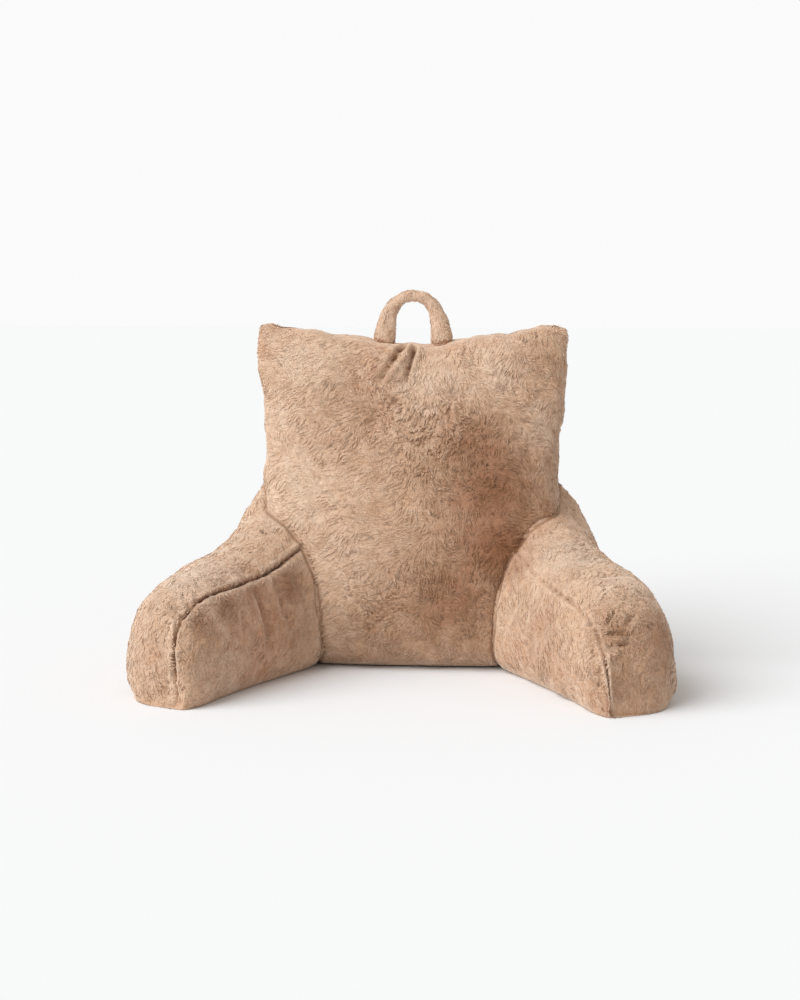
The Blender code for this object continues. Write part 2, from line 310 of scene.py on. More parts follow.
# the folds of each arm, not mirrored. The right arm's first is its short outer seam
armCreases = {
    "left": folds((
        ((-0.278, -0.094, 0.196), (-0.252, -0.096, 0.07), 0.01, 0.007),
        ((-0.248, -0.039, 0.2), (-0.217, -0.031, 0.058), 0.011, 0.006),
        ((-0.302, -0.14, 0.185), (-0.285, -0.154, 0.1), 0.012, 0.005),
        ((-0.222, 0.01, 0.205), (-0.192, 0.012, 0.1), 0.009, 0.004),
        ((-0.441, -0.25, 0.136), (-0.438, -0.264, 0.098), 0.004, 0.005),
        ((-0.412, -0.262, 0.14), (-0.394, -0.238, 0.167), 0.0045, 0.005),
        ((-0.396, -0.215, 0.192), (-0.373, -0.228, 0.175), 0.0045, 0.006),
    )),
    "right": folds((
        ((0.319, 0.183, 0.321), (0.352, 0.15, 0.275), 0.005, 0.006, 0.007),
        ((0.373, -0.253, 0.149), (0.425, -0.252, 0.147), 0.005, 0.009),
        ((0.377, -0.265, 0.127), (0.423, -0.262, 0.132), 0.0042, 0.007),
        ((0.377, -0.273, 0.103), (0.416, -0.272, 0.109), 0.004, 0.004),
        ((0.377, -0.244, 0.163), (0.395, -0.222, 0.185), 0.005, 0.006),
        ((0.409, -0.25, 0.158), (0.435, -0.216, 0.182), 0.0055, 0.007),
        ((0.349, -0.268, 0.081), (0.37, -0.283, 0.08), 0.004, 0.005),
        ((0.344, -0.264, 0.053), (0.366, -0.283, 0.057), 0.0038, 0.004),
        ((0.262, -0.03, 0.19), (0.24, -0.04, 0.095), 0.014, 0.003),
    )),
}


def armAxes(shape, side):    # along the arm to its nose, outwards from it, and the middle of the nose
    along = np.array((side * sin(shape["splay"]), -cos(shape["splay"]), 0.0))
    outward = np.array((side * cos(shape["splay"]), sin(shape["splay"]), 0.0))
    return along, outward, np.array((side * shape["noseX"], shape["noseY"], 0.0))


def armSurface(shape, side):
    # upright sections carried along the arm, each an arch over a flatter belly, cut flat at the floor.
    # Also gives the length along each ring from the seam.
    at = evenRows(shape["rows"], (0, 1, 3), shape["spacing"])
    turns = np.linspace(0.0, -2.0 * pi, 1441)
    near = np.array(shape["nearSeam"])    # distances of the points closest to the seam
    between = np.linspace(0.0, 1.0, shape["ringPoints"] - 2 * len(near) + 1)[1:]
    rows = np.array(shape["rows"])
    seamColumn = 6 if side < 0 else 7
    rows[0, 4] = rows[0, seamColumn]      # the nose closes on its seam
    sections, seamLength = [], []
    for row in throughRows(rows, at):
        reach, top, bottom, halfWidth, middle, crown = row[:6]
        seam = row[seamColumn]
        halfWidth, floor = max(halfWidth, 0.0), max(bottom, 0.0)
        widest = floor + shape["widest"] * (top - floor)
        offset = np.clip((seam - middle) / max(halfWidth, 0.001), -0.98, 0.98)
        angles = np.arccos(signedPower(offset, crown / 2.0)) + turns
        rise = np.sin(angles)
        bend = np.where(rise > 0.0, 2.0 / crown, 2.0 / shape["belly"])
        reachUp = np.where(rise > 0.0, top - widest, widest - bottom)
        outline = np.column_stack([
            middle + halfWidth * signedPower(np.cos(angles), bend),
            np.maximum(widest + reachUp * signedPower(rise, bend), 0.0),
        ])
        whole = np.linalg.norm(np.diff(outline, axis=0), axis=1).sum()
        close = near * min(1.0, whole / (8.0 * near[-1])) / max(whole, 1e-9)
        shares = np.concatenate([close, close[-1] + (1.0 - 2.0 * close[-1]) * between, 1.0 - close[-2:0:-1]])
        section, length, whole = alongOutline(outline, shares)
        sections.append(np.column_stack([np.full(len(section), reach), section]))
        seamLength.append(np.minimum(length, whole - length))
    along, outward, nose = armAxes(shape, side)
    local = np.array(sections)
    points = nose + local[..., :1] * along + local[..., 1:2] * outward + local[..., 2:] * (0.0, 0.0, 1.0)
    return points, np.array(seamLength)


handleShape = {
    "y": 0.214,
    # from the left foot to the top of the arch: across, height, half breadth, half depth
    "rows": (
        (-0.059, 0.625, 0.0255, 0.0215), (-0.0575, 0.65, 0.0245, 0.0215), (-0.053, 0.68, 0.022, 0.021),
        (-0.044, 0.707, 0.018, 0.02), (-0.0255, 0.7285, 0.0152, 0.019), (0.0, 0.7355, 0.0145, 0.0185),
    ),
    "spacing": 0.004, "ringPoints": 36, "squareness": 2.3, "lumps": 0.0009, "lumpSize": 0.03,
}


def handleSurface(shape):    # a soft strap carried along an arch, its section square to the arch
    half = np.array(shape["rows"])
    rows = np.vstack([half, half[-2::-1] * (-1.0, 1.0, 1.0, 1.0)])
    stations = throughRows(rows, evenRows(rows, (0, 1), shape["spacing"]))
    heading = unit(np.gradient(stations[:, :2], axis=0))
    angles = np.linspace(0.0, 2.0 * pi, shape["ringPoints"], endpoint=False)
    breadth, depth = (signedPower(f(angles), 2.0 / shape["squareness"]) for f in (np.cos, np.sin))
    across, height, halfBreadth, halfDepth = (column[:, None] for column in stations.T)
    rings = np.stack([
        across - heading[:, 1:] * halfBreadth * breadth,
        shape["y"] + halfDepth * depth + 0.0 * across,
        height + heading[:, :1] * halfBreadth * breadth,
    ], axis=-1)
    first, last = (np.tile(ring.mean(axis=0), (1, len(ring), 1)) for ring in rings[[0, -1]])
    return np.concatenate([first, rings, last])


def insideBack(points):    # below 1 inside the back's shape: the superellipse of the point's level
    shape = backShape
    level = points[:, 2] - earLift(shape, points[:, 0], points[:, 2])
    dense = throughRows(shape["rows"], np.linspace(1.0, len(shape["rows"]) - 1.0, 400))
    width, front, rear = (np.interp(level, dense[:, 0], dense[:, k]) for k in (1, 2, 3))
    middle, depth = 0.5 * (front + rear), np.maximum(0.5 * (rear - front), 0.001)
    n = shape["squareness"]
    value = (np.abs(points[:, 0] / width) ** n + np.abs((points[:, 1] - middle) / depth) ** n) ** (1.0 / n)
    return np.where(level > shape["rows"][-1][0], 2.0, value)


def insideArm(points, side):    # below 1 inside the arm's shape: the section at the point's reach
    shape = armShape
    along, outward, nose = armAxes(shape, side)
    reach, sideways, z = (points - nose) @ along, (points - nose) @ outward, points[:, 2]
    dense = throughRows(shape["rows"], np.linspace(3.0, len(shape["rows"]) - 1.0, 400))[::-1]
    top, bottom, halfWidth, middle, crown = (np.interp(reach, dense[:, 0], dense[:, k]) for k in range(1, 6))
    floor = np.maximum(bottom, 0.0)
    widest = floor + shape["widest"] * (top - floor)
    above = z > widest
    n = np.where(above, crown, shape["belly"])
    tall = np.maximum(np.where(above, top - widest, widest - bottom), 0.001)
    value = (
        np.abs((sideways - middle) / np.maximum(halfWidth, 0.001)) ** n + np.abs((z - widest) / tall) ** n
    ) ** (1.0 / n)
    return np.where((reach < dense[0, 0]) | (reach > dense[-1, 0]), 2.0, value)


def newMesh(name, points, faces, cornerMap=None):    # arrays to a smooth mesh, with its own map
    mesh = bpy.data.meshes.new(name)
    mesh.vertices.add(len(points))
    mesh.vertices.foreach_set("co", points.astype(np.float32).ravel())
    mesh.loops.add(faces.size)
    mesh.loops.foreach_set("vertex_index", faces.astype(np.int32).ravel())
    mesh.polygons.add(len(faces))
    mesh.polygons.foreach_set("loop_start", np.arange(0, faces.size, faces.shape[1], dtype=np.int32))
    if cornerMap is not None:
        layer = mesh.uv_layers.new(name="OFBake")
        layer.uv.foreach_set("vector", cornerMap.astype(np.float32).ravel())
    mesh.update(calc_edges=True)
    mesh.shade_smooth()
    return mesh


def addPiece(mesh, material):
    item = placed(mesh.name, mesh)
    mesh.materials.append(material)
    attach(item, rootBody)
    return item


def writeMarks(mesh, marks, copies=1):    # numbers that the materials read, one a vertex
    for label, numbers in marks.items():
        values = np.repeat(numbers.astype(np.float32).ravel(), copies)
        mesh.attributes.new(label, "FLOAT", "POINT").data.foreach_set("value", values)


def skinPiece(name, points, marks, material):
    # the grid of rings as four-sided faces, what meets at its ends welded, faces turned outwards
    rows, ring = points.shape[:2]
    index = np.arange(rows * ring).reshape(rows, ring)
    after = np.roll(index, -1, axis=1)
    faces = np.stack([index[:-1], after[:-1], after[1:], index[1:]], axis=-1).reshape(-1, 4)
    low, left = np.meshgrid(np.arange(rows - 1) / (rows - 1), np.arange(ring) / ring, indexing="ij")
    high, right = low + 1.0 / (rows - 1), left + 1.0 / ring
    corners = np.stack([left, low, right, low, right, high, left, high], axis=-1)
    mesh = newMesh(name, points.reshape(-1, 3), faces, corners)
    writeMarks(mesh, marks)
    welded = bmesh.new()
    welded.from_mesh(mesh)
    bmesh.ops.remove_doubles(welded, verts=welded.verts, dist=0.00002)
    bmesh.ops.dissolve_degenerate(welded, edges=welded.edges, dist=0.00002)
    bmesh.ops.recalc_face_normals(welded, faces=welded.faces)
    welded.to_mesh(mesh)
    welded.free()
    return addPiece(mesh, material)


pile = {
    "inset": 0.0032,          # how far the skin lies inside its shape
    "floor": 0.0006, "underside": 0.004,    # lowest skin, and the height under which the base has no pile
    "sunk": 0.001,           # how deep a tuft starts below the skin
    "firstLean": radians(64), # of a tuft's lower half, from straight up
    "lastLean": radians(95),  # of its upper half
    "leanSpread": radians(3), "bendSpread": radians(12), "lengths": (0.85, 1.15), "widths": (0.7, 1.3),
    "longer": 0.12, "longerSize": 0.03,     # wide unevenness of the length
    "bellyShare": 0.42,       # where along it a tuft is widest
    "gather": 0.4,            # of the way to its lock's middle line, at its belly and again at its tip
    "bellyUp": 0.6,           # how far the shading of its sides looks up
    "flatness": 0.8,         # how far its shading follows the skin and its lock, less where it curls
    # what a curled tuft has more or less of
    "curlLength": -0.45, "curlWidth": 0.8, "curlLift": radians(10), "curlFlatness": 0.1,
    "curlSwirl": 0.9, "curlStray": 0.3, "curlStub": 0.45, "curlStrong": 1.2,
    # how far it is combed off a seam or a fold, and how much shorter and more curled it is there
    "seamComb": 1.2, "foldComb": 2.0, "partShort": 0.4, "partCurl": 0.4,
    "highlightCalm": 0.9, "shadeShort": 0.5,     # locks fade where a highlight is painted, tufts shorten where shade is painted
    "lockWays": 8,            # locks looked at for each tuft
    "lockAlong": 0.35,        # how round a lock is from end to end, for across
    "edgeFrom": 0.35, "edgeFull": 1.2, "edgeMost": 1.5, "lockBell": 0.8,
}


def curlAt(points, patches):
    # 0 to 1: how tufted the pile is, broken up within the given patches
    broken = 0.5 + 0.5 * np.tanh(1.6 * ripple(points, 0.045, 77) + 0.4 * ripple(points, 0.016, 78))
    return np.clip(np.maximum(0.1 * broken, patchy(points, patches) * (0.35 + 0.65 * broken)), 0.0, 1.0)


def tangent(vectors, normals):    # the part of each vector that lies on the skin
    return unit(vectors - dots(vectors, normals) * normals)


def turned(vectors, normals, angles):    # turned about the skin's normal
    return vectors * np.cos(angles)[:, None] + np.cross(normals, vectors) * np.sin(angles)[:, None]


def scatter(skin, fields, count, draw):
    # places spread evenly over a grid's area, with the fields read there from the four corners round them
    after = np.roll(skin, -1, axis=1)
    area = np.linalg.norm(np.cross(skin[1:] - skin[:-1], (after - skin)[:-1]), axis=-1).ravel()
    total = np.cumsum(area)
    target = (np.arange(count) + draw.random(count)) / count * total[-1]
    cell = np.minimum(np.searchsorted(total, target), len(area) - 1)
    across = 1.0 - np.clip((total[cell] - target) / np.maximum(area[cell], 1e-12), 0.0, 1.0)
    up = draw.random(count)
    ring = skin.shape[1]
    row, column = cell // ring, cell % ring
    beside = (column + 1) % ring
    a, b = across[:, None], up[:, None]
    return (
        (1 - a) * (1 - b) * fields[row, column] + a * (1 - b) * fields[row, beside]
        + (1 - a) * b * fields[row + 1, column] + a * b * fields[row + 1, beside]
    )


def findLocks(root, way, curl, settings, draw):
    # which lock each tuft lies in: of the nearest few the least far off, distance along the nap counted for
    # less. Locks are stubbier where the pile is curled. Gives the lock and the offset from its middle
    centres = draw.choice(len(root), max(len(root) // settings["perLock"], 1), replace=False)
    tree = kdtree.KDTree(len(centres))
    for number, centre in enumerate(root[centres]):
        tree.insert(centre, number)
    tree.balance()
    ways = min(pile["lockWays"], len(centres))
    near = np.array([[hit[1] for hit in tree.find_n(place, ways)] for place in root])
    offset = root[:, None] - root[centres][near]
    along = dots(offset, way[centres][near])
    stretch = settings["lockStretch"] * (1.0 - pile["curlStub"] * curl[:, None])
    distance = (offset**2).sum(-1) - (1.0 - stretch**-2) * along[..., 0] ** 2
    best = np.arange(len(root)), distance.argmin(axis=1)
    return centres[near[best]], offset[best]


def pilePiece(name, root, normal, way, size, width, curl, gap, rounding, marks, draw, material):
    # each tuft is a bent blade of four faces: a point in the skin, two sides of a raised belly and a tip.
    # Its belly and tip are drawn towards the middle line of its lock, which is a gap away
    count = len(root)
    lift = draw.normal(0.0, pile["leanSpread"], count) - pile["curlLift"] * curl
    first = (pile["firstLean"] + lift)[:, None]
    last = (pile["lastLean"] + lift + draw.normal(0.0, pile["leanSpread"], count))[:, None]
    bent = turned(way, normal, draw.normal(0.0, pile["bendSpread"], count))
    share = pile["bellyShare"]
    start = root - pile["sunk"] * normal
    lower = normal * np.cos(first) + way * np.sin(first)
    upper = normal * np.cos(last) + bent * np.sin(last)
    middle = start + share * size[:, None] * lower - pile["gather"] * gap
    tip = middle + (1.0 - share) * size[:, None] * upper - pile["gather"] * gap
    along = unit(tip - start)
    side = unit(np.cross(normal, along))
    above = unit(np.cross(along, side))
    half = 0.5 * width[:, None]
    points = np.stack([start, middle - half * side, middle + half * side, tip], axis=1)
    points[..., 2] = np.maximum(points[..., 2], pile["floor"])
    corner = np.array([(0, 1, 2), (3, 2, 1), (0, 3, 1), (0, 2, 3)])
    faces = (corner[None] + 4 * np.arange(count)[:, None, None]).reshape(-1, 3)

    # every tuft has its own cell of the map, its hidden underside beside its top
    cells = int(np.ceil(np.sqrt(count)))
    top = np.array([(0.36, 0.03), (0.03, 0.5), (0.69, 0.5), (0.36, 0.97)])
    under = np.array([(0.86, 0.03), (0.76, 0.5), (0.96, 0.5), (0.86, 0.97)])
    place = np.concatenate([top[corner[:2]], under[corner[2:]]])
    origin = np.stack([np.arange(count) % cells, np.arange(count) // cells], axis=-1)
    corners = (origin[:, None, None] + place[None]) / cells
    mesh = newMesh(name, points.reshape(-1, 3), faces, corners)

    writeMarks(mesh, {
        "along": np.tile((0.0, share, share, 1.0), count), "across": np.tile((0.0, -1.0, 1.0, 0.0), count),
    })
    writeMarks(mesh, {"tone": draw.random(count), **marks}, copies=4)
    lie = np.repeat(normal, 4, axis=0).astype(np.float32)    # the way the skin under each tuft faces
    mesh.attributes.new("lie", "FLOAT_VECTOR", "POINT").data.foreach_set("vector", lie.ravel())

    # shading leans towards that of the skin and of a round lock, so that a tuft doesn't read as a chip
    flat = (pile["flatness"] - pile["curlFlatness"] * curl)[:, None, None]
    sides = pile["bellyUp"] * above
    own = np.stack([above, sides - side, sides + side, above], axis=1)
    soft = unit(flat * unit(normal + rounding)[:, None] + (1.0 - flat) * unit(own))
    shading = soft[:, corner].copy()
    below = unit(np.cross(points[:, corner[2:, 1]] - points[:, corner[2:, 0]],
                          points[:, corner[2:, 2]] - points[:, corner[2:, 0]]))
    shading[:, 2:] = below[:, :, None]
    mesh.normals_split_custom_set(shading.reshape(-1, 3))
    return addPiece(mesh, material)


def growPile(name, skin, normals, marks, comb, settings, seed, material, keep, seam=None, creases=()):
    # scatter roots, comb them, part them along seams and folds, and make the tufts
    draw = np.random.default_rng(seed)
    seamSide = np.ones(skin.shape[:2]) if seam is None else seam
    fields = np.concatenate([skin, normals, aroundGrid(skin), np.stack([seamSide, *marks.values()], -1)], -1)
    found = scatter(skin, fields, settings["count"], draw)
    hidden = (found[:, 2] < pile["underside"]) & (found[:, 5] < -0.5)
    found = found[~hidden & keep(found[:, :3])]
    root, normal, around, seamLength = found[:, :3], unit(found[:, 3:6]), unit(found[:, 6:9]), found[:, 9]
    marks = dict(zip(marks, found[:, 10:].T))
    count = len(root)
    way = tangent(comb(root), normal)
    curl = marks["curl"]
    swirl = (settings["swirl"] + pile["curlSwirl"] * curl) * ripple(root, settings["swirlSize"], seed + 1)
    stray = settings["stray"] + pile["curlStray"] * curl
    way = turned(way, normal, swirl + draw.normal(0.0, 1.0, count) * stray)
    lock, offset = findLocks(root, way, curl, settings, draw)
    way = turned(tangent(way[lock], normal), normal, draw.normal(0.0, settings["loose"], count))
    near = np.zeros(count)
    if seam is not None:    # away from the seam on both sides of it
        weight = bump(seamLength, settings["seamPart"])
        way = unit(way + pile["seamComb"] * (weight * np.sign(seamLength))[:, None] * around)
        near = np.maximum(near, weight)
    for line in creases:
        if "part" in line:
            fromFold, _ = fromLine(root, line)
            weight = bump(np.linalg.norm(fromFold, axis=-1), line["part"])
            onward = unit(np.array(line["end"]) - line["start"]) if line.get("pucker") else unit(fromFold)
            way = unit(way + pile["foldComb"] * weight[:, None] * onward)
            near = np.maximum(near, weight)
    way = tangent(way, normal)
    offset = offset - dots(offset, normal) * normal
    gap = offset - dots(offset, way) * way
    edge = np.clip(np.linalg.norm(gap, axis=-1) / settings["lockHalf"], 0.0, pile["edgeMost"])
    strong = np.minimum(settings["calm"] + pile["curlStrong"] * curl, 1.0)
    strong = strong * (1.0 - pile["highlightCalm"] * marks["pale"])
    slope = strong[:, None] * settings["lockRound"] / settings["lockHalf"]
    rounding = slope * (gap + pile["lockAlong"] * dots(offset, way) * way)
    # painted shade at the edges of each lock, in the gaps between locks
    lockEdgeShade = strong * settings["lockShade"] * smoothStep(edge, pile["edgeFrom"], pile["edgeFull"])
    marks["shade"] = np.clip(marks["shade"] + lockEdgeShade, 0.0, 1.0)
    size = settings["length"] * draw.uniform(*pile["lengths"], count)
    size = size * (1.0 + pile["longer"] * ripple(root, pile["longerSize"], seed + 2))
    width = settings["width"] * draw.uniform(*pile["widths"], count)
    curl = np.maximum(curl, pile["partCurl"] * near) * draw.uniform(0.5, 1.0, count)
    whole, darkened = 1.0 - marks["short"], 1.0 - pile["shadeShort"] * marks["shade"]
    size *= (1.0 + pile["curlLength"] * curl - pile["partShort"] * near) * darkened * whole
    width *= 1.0 + pile["curlWidth"] * curl
    lift = settings["lockHeight"] * strong * (bump(edge, pile["lockBell"]) - 0.5) * (1.0 - near) * whole
    root = root + lift[:, None] * normal
    return pilePiece(name, root, normal, way, size, width, curl, gap, rounding, marks, draw, material)


plushColours = {
    # deep: the painted shade, in creases, folds, seams and gaps between locks, at the roots and in darker
    # strands
    "deep": (0.26, 0.12, 0.058, 1.0),
    "body": (0.72, 0.485, 0.325, 1.0),
    # tip: paler tips, and also the painted highlights and painted rim
    "tip": (0.9, 0.73, 0.585, 1.0),
    # warm: rosier patches at random, and also painted warm shade
    "warm": (0.62, 0.31, 0.18, 1.0),
    "turned": (0.275, 0.122, 0.06, 1.0),    # painted shade where the nap is brushed the other way, and on sides facing from the light
}


plushShader = {
    "Roughness": 0.9, "Specular IOR Level": 0.12, "Sheen Weight": 0.28, "Sheen Roughness": 0.5,
    "Sheen Tint": (1.0, 0.87, 0.75, 1.0),
}
# the plush's patches (how fine, from and to which noise, how strong), its painted pale rim and tips, the
# painted shade at the roots and in creases, and its hairs
plushLook = {
    "wideScale": 7.0, "warmRange": (0.44, 0.7), "warmMost": 0.35,
    "smallScale": 46.0, "paleRange": (0.35, 0.7), "paleMost": 0.4, "turnedShadeTips": 0.05,
    "rimFrom": 0.5, "rimMost": 0.7, "tipMost": 0.45, "rootShade": 0.16, "strandDark": 0.14,
    "tuftRelief": 0.0006, "skinRelief": 0.0016, "hairDark": 0.28, "creaseShade": 0.6, "creaseDeep": -1.6,
}


def newGroup(name, inputs, outputs):
    group = bpy.data.node_groups.new(name, "ShaderNodeTree")
    for direction, sockets in (("INPUT", inputs), ("OUTPUT", outputs)):
        for label, kind in sockets:
            group.interface.new_socket(name=label, in_out=direction, socket_type="NodeSocket" + kind)
    return group, group.nodes.new("NodeGroupInput").outputs, group.nodes.new("NodeGroupOutput").inputs


def node(tree, kind, inputs=None, **settings):    # a node with its settings, and its inputs set or linked
    made = tree.nodes.new("ShaderNode" + kind)
    for key, value in settings.items():
        setattr(made, key, value)
    for key, value in (inputs or {}).items():
        if isinstance(value, bpy.types.NodeSocket):
            tree.links.new(value, made.inputs[key])
        else:
            made.inputs[key].default_value = value
    return made


def mixColour(tree, factor, first, second):
    made = node(tree, "Mix", {"Factor": factor, 6: first, 7: second}, data_type="RGBA")
    return made.outputs[2]


def remap(tree, value, low=0.0, high=1.0, first=0.0, last=1.0, **more):
    # a value that runs from low to high, as one that runs from first to last
    return node(tree, "MapRange", {"Value": value, "From Min": low, "From Max": high,
                                   "To Min": first, "To Max": last}, **more).outputs["Result"]


def calc(tree, operation, *values, **more):
    return node(tree, "Math", dict(enumerate(values)), operation=operation, **more).outputs[0]


def noise(tree, place, scale, detail, output="Fac", **more):
    return node(tree, "TexNoise", {"Vector": place, "Scale": scale, "Detail": detail, **more}).outputs[output]


def mark(tree, label, output="Fac"):    # what the mesh says under this label
    return node(tree, "Attribute", attribute_name=label).outputs[output]


def makeToneGroup():
    # warmer and paler patches of pile, at random and as painted warm shade and painted highlights where the
    # mesh marks them, and painted shade where the nap is turned and where it is creased. Also gives how much
    # paler the tips may be there
    tree, given, out = newGroup(
        "plushTone", (("Body", "Color"), ("Tip", "Color"), ("Warm", "Color"), ("Turned", "Color"),
                      ("Deep", "Color"), ("Pale", "Float"), ("Turn", "Float"), ("Shade", "Float"),
                      ("Warmth", "Float")),
        (("Colour", "Color"), ("Tips", "Float")),
    )
    place = node(tree, "TexCoord").outputs["Object"]
    wide = noise(tree, place, plushLook["wideScale"], 1.0)
    small = noise(tree, place, plushLook["smallScale"], 3.0)
    warm = remap(tree, wide, *plushLook["warmRange"], last=plushLook["warmMost"])
    warm = calc(tree, "ADD", warm, given["Warmth"], use_clamp=True)
    tips = remap(tree, given["Turn"], first=1.0, last=plushLook["turnedShadeTips"])
    pale = remap(tree, small, *plushLook["paleRange"])
    share = calc(tree, "MULTIPLY_ADD", pale, plushLook["paleMost"], given["Pale"])
    share = calc(tree, "MULTIPLY", share, tips, use_clamp=True)
    colour = mixColour(tree, warm, given["Body"], given["Warm"])
    colour = mixColour(tree, given["Turn"], colour, given["Turned"])
    colour = mixColour(tree, share, colour, given["Tip"])
    colour = mixColour(tree, given["Shade"], colour, given["Deep"])
    tree.links.new(colour, out["Colour"])
    tree.links.new(tips, out["Tips"])
    return tree


def makeStrandGroup():    # fine hairs along each tuft: noise drawn out from root to tip, new for each tuft
    tree, given, out = newGroup(
        "pileStrands", (("Along", "Float"), ("Across", "Float"), ("Tone", "Float")),
        (("Strand", "Float"),),
    )
    across = calc(tree, "MULTIPLY", given["Across"], 4.0)
    offset = calc(tree, "MULTIPLY", given["Tone"], 71.0)
    place = node(tree, "CombineXYZ", {"X": across, "Y": given["Along"], "Z": offset}).outputs[0]
    tree.links.new(remap(tree, noise(tree, place, 1.6, 2.0), 0.3, 0.7), out["Strand"])
    return tree


def makeNapGroup():
    # hairs lying on the skin, and the thin creases between locks of them: winding noise, drawn out by the
    # scale it is given, the creases where a wider copy of it crosses its middle
    tree, given, out = newGroup(
        "lyingNap", (("Scale", "Vector"), ("Winding", "Float"), ("Locks", "Float")),
        (("Nap", "Float"), ("Crease", "Float")),
    )
    place = node(tree, "TexCoord").outputs["Object"]
    bend = noise(tree, place, 26.0, 1.0, "Color")
    push = node(tree, "VectorMath", {0: bend, 3: given["Winding"]}, operation="SCALE").outputs[0]
    moved = node(tree, "VectorMath", {0: place, 1: push}, operation="ADD").outputs[0]
    drawn = node(tree, "VectorMath", {0: moved, 1: given["Scale"]}, operation="MULTIPLY").outputs[0]
    hairs = noise(tree, drawn, 1.0, 3.0, Roughness=0.6)
    tree.links.new(remap(tree, hairs, 0.32, 0.68), out["Nap"])
    lock = noise(tree, drawn, given["Locks"], 1.0, Distortion=0.4)
    level = calc(tree, "ABSOLUTE", calc(tree, "SUBTRACT", lock, 0.5))
    crease = remap(tree, level, high=0.055, first=1.0, last=0.0, interpolation_type="SMOOTHSTEP")
    tree.links.new(crease, out["Crease"])
    return tree


def newMaterial(name, look):    # a Principled material with these inputs
    material = bpy.data.materials.new(name)
    material.use_nodes = True
    shader = material.node_tree.nodes["Principled BSDF"]
    for label, value in look.items():
        shader.inputs[label].default_value = value
    return material, material.node_tree, shader


def rimmed(tree, colour, weight):    # paler where a cushion turns away from view, as the tips catch the light
    share = remap(tree, weight.outputs["Facing"], plushLook["rimFrom"], last=plushLook["rimMost"],
                  interpolation_type="SMOOTHSTEP")
    return mixColour(tree, share, colour, plushColours["tip"])


def toneNode(tree, group):    # the pile's colour, by what the mesh says of its nap and creases: painted shade, highlights and warm shade
    given = {label.capitalize(): plushColours[label] for label in ("body", "tip", "warm", "turned", "deep")}
    given |= {label.capitalize(): mark(tree, label) for label in ("shade", "turn", "pale", "warmth")}
    return node(tree, "Group", given, node_tree=group)


def makePileMaterial(toneGroup, strandGroup):
    material, tree, shader = newMaterial("plushPile", plushShader)
    along, across, tone = (mark(tree, label) for label in ("along", "across", "tone"))
    toned = toneNode(tree, toneGroup)
    strand = node(tree, "Group", {"Along": along, "Across": across, "Tone": tone},
                  node_tree=strandGroup).outputs["Strand"]
    paler = remap(tree, tone, last=plushLook["tipMost"])
    paler = calc(tree, "MULTIPLY", remap(tree, along, 0.2), paler)
    paler = calc(tree, "MULTIPLY", paler, toned.outputs["Tips"])
    colour = mixColour(tree, paler, toned.outputs["Colour"], plushColours["tip"])
    # painted shade towards the root of each tuft, down in the pile
    shadeAtRoot = remap(tree, along, high=0.5, first=plushLook["rootShade"], last=0.0)
    colour = mixColour(tree, shadeAtRoot, colour, plushColours["deep"])
    dark = remap(tree, strand, first=plushLook["strandDark"], last=0.0)
    colour = mixColour(tree, dark, colour, plushColours["deep"])
    lie = mark(tree, "lie", "Vector")
    weight = node(tree, "LayerWeight", {"Blend": 0.5, "Normal": lie})
    tree.links.new(rimmed(tree, colour, weight), shader.inputs["Base Color"])
    relief = node(tree, "Bump", {"Strength": 0.35, "Distance": plushLook["tuftRelief"], "Height": strand})
    tree.links.new(relief.outputs["Normal"], shader.inputs["Normal"])
    return material


# hairs on each cushion: how tightly the nap is packed across, up and down, how much it winds, and how
# much wider its locks are
backingNaps = {
    "back": {"near": (150.0, 260.0, 480.0), "far": (420.0, 260.0, 190.0), "winding": 0.03, "locks": 0.26},
    "arms": {"near": (420.0, 420.0, 150.0), "far": (260.0, 260.0, 260.0), "winding": 0.03, "locks": 0.28},
}


def makeSkinMaterial(name, toneGroup, napGroup, nap):    # two ways of combing, in patches
    material, tree, shader = newMaterial(name, plushShader)
    place = node(tree, "TexCoord").outputs["Object"]
    ways = [
        node(tree, "Group", {"Scale": nap[label], "Winding": nap["winding"], "Locks": nap["locks"]},
             node_tree=napGroup)
        for label in ("near", "far")
    ]
    patch = remap(tree, noise(tree, place, 9.0, 1.0), 0.42, 0.58)
    hairs, crease = (
        node(tree, "Mix", {"Factor": patch, 2: ways[0].outputs[label], 3: ways[1].outputs[label]}).outputs[0]
        for label in ("Nap", "Crease")
    )
    # painted shade in the creases between locks, more where the pile is curled
    crease = calc(tree, "MULTIPLY", crease, remap(tree, mark(tree, "curl"), first=0.35))
    dark = remap(tree, hairs, first=plushLook["hairDark"], last=0.0)
    dark = calc(tree, "MULTIPLY_ADD", crease, plushLook["creaseShade"], dark)
    colour = mixColour(tree, dark, toneNode(tree, toneGroup).outputs["Colour"], plushColours["deep"])
    weight = node(tree, "LayerWeight", {"Blend": 0.5})
    tree.links.new(rimmed(tree, colour, weight), shader.inputs["Base Color"])
    height = calc(tree, "MULTIPLY_ADD", crease, plushLook["creaseDeep"], hairs)
    relief = node(tree, "Bump", {"Strength": 0.8, "Distance": plushLook["skinRelief"], "Height": height})
    tree.links.new(relief.outputs["Normal"], shader.inputs["Normal"])
    return material


toneGroup = makeToneGroup()
napGroup = makeNapGroup()
pileMaterial = makePileMaterial(toneGroup, makeStrandGroup())
backMaterial = makeSkinMaterial("backPlush", toneGroup, napGroup, backingNaps["back"])
armMaterial = makeSkinMaterial("armPlush", toneGroup, napGroup, backingNaps["arms"])
print("materials made")


